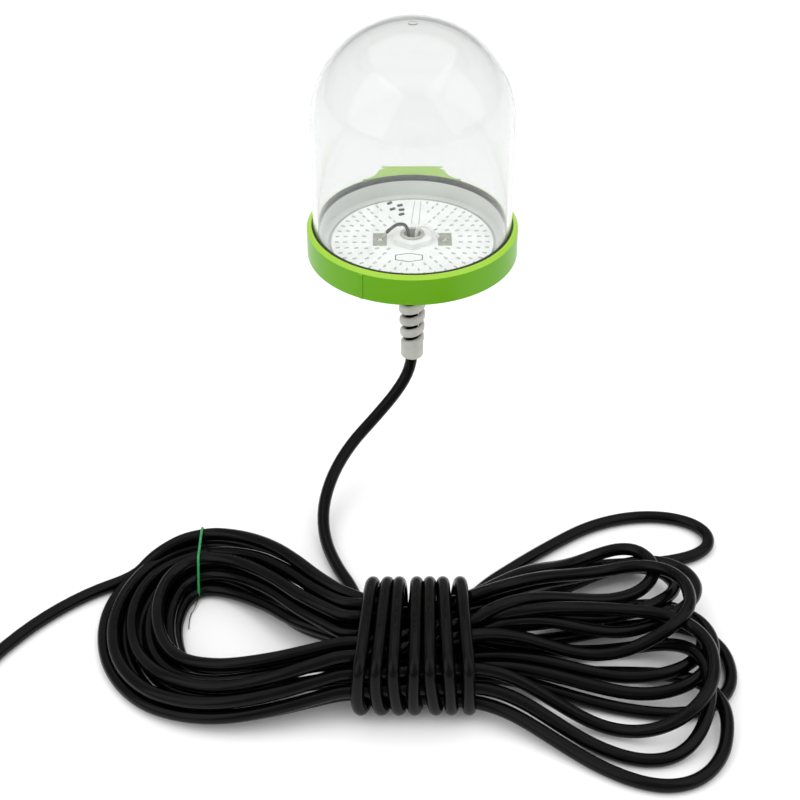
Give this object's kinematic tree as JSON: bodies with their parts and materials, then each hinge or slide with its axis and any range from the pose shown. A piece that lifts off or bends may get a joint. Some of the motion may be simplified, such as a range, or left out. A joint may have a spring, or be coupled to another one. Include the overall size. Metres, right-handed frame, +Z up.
{
  "type": "underwater pond light",
  "caption": "Submersible pond light: clear bell dome over a round white LED board, green clamp ring with fixing lug, spiral cable gland and a long tied black cable with plug.",
  "frame": {"origin": "centre of the flat outer face of the fixing lug, at the middle of the clamp ring's height", "axes": "+Z up along the lamp's axis, towards the dome's top; +Y out of the lug's face, towards what holds the lamp; +X completes the right-handed set"},
  "size_m": [0.49, 0.454, 0.3215],
  "materials": {
    "ring_green": "injection-moulded lime green plastic, soft gloss, bevelled top edge",
    "brass_insert": "machined threaded insert",
    "dome_clear": "clear polished polycarbonate, 3 mm thick",
    "gasket_rubber": "black rubber, satin",
    "cup_plastic": "light grey moulded plastic",
    "sealant_white": "cured white silicone bead",
    "pad_grey": "thermal pad",
    "board_white": "white solder mask on an aluminium board",
    "led_package": "white surface-mount packages with clear lenses",
    "chip_black": "black moulded chips",
    "pad_tin": "tinned copper pads",
    "solder": "solder, bright",
    "gland_white": "white nylon",
    "gland_grey": "light warm grey nylon",
    "seal_rubber": "black rubber",
    "cable_rubber": "black rubber sheath, satin to glossy",
    "wire_black": "black insulation",
    "wire_white": "white insulation",
    "wire_tin": "tinned copper strands",
    "tie_green": "bright green plastic-coated wire tie",
    "plug_rubber": "black moulded rubber, fine matt texture",
    "blade_nickel": "nickel-plated brass"
  },
  "bodies": {
    "lamp": {"clamp_ring": "ring_green", "lug_inserts": "brass_insert", "dome": "dome_clear", "dome_gasket": "gasket_rubber", "base_cup": "cup_plastic", "cup_sealant": "sealant_white", "thermal_pad": "pad_grey", "led_board": "board_white", "leds": "led_package", "driver_chips": "chip_black", "solder_pads": "pad_tin", "solder_joints": "solder", "gland_locknut": "gland_white", "gland_body": "gland_grey", "gland_o_ring": "seal_rubber", "gland_seal": "seal_rubber", "cable_core": "cable_rubber", "black_wire": "wire_black", "white_wire": "wire_white", "bare_strands": "wire_tin", "cable_lead": "cable_rubber", "cable_hank": "cable_rubber", "twist_tie": "tie_green", "cable_tail": "cable_rubber", "plug_relief": "plug_rubber", "plug_body": "plug_rubber", "plug_blades": "blade_nickel"},
    "claw": {"gland_claw": "gland_grey"},
    "compression_nut": {"gland_nut": "gland_grey"}
  },
  "joints": [
    {"name": "nut_back_off", "type": "slide", "parent": "lamp", "child": "claw", "axis": [0, 0, -1], "range_m": [0, 0.003]},
    {"name": "nut_turn", "type": "hinge", "parent": "claw", "child": "compression_nut", "pos_m": [0, -0.076, -0.03], "axis": [0, 0, -1], "range_deg": [0, 720]}
  ],
  "couplings": [
    {"joint": "nut_back_off", "follows": "nut_turn", "m_per_rad": 0.00023873}
  ]
}
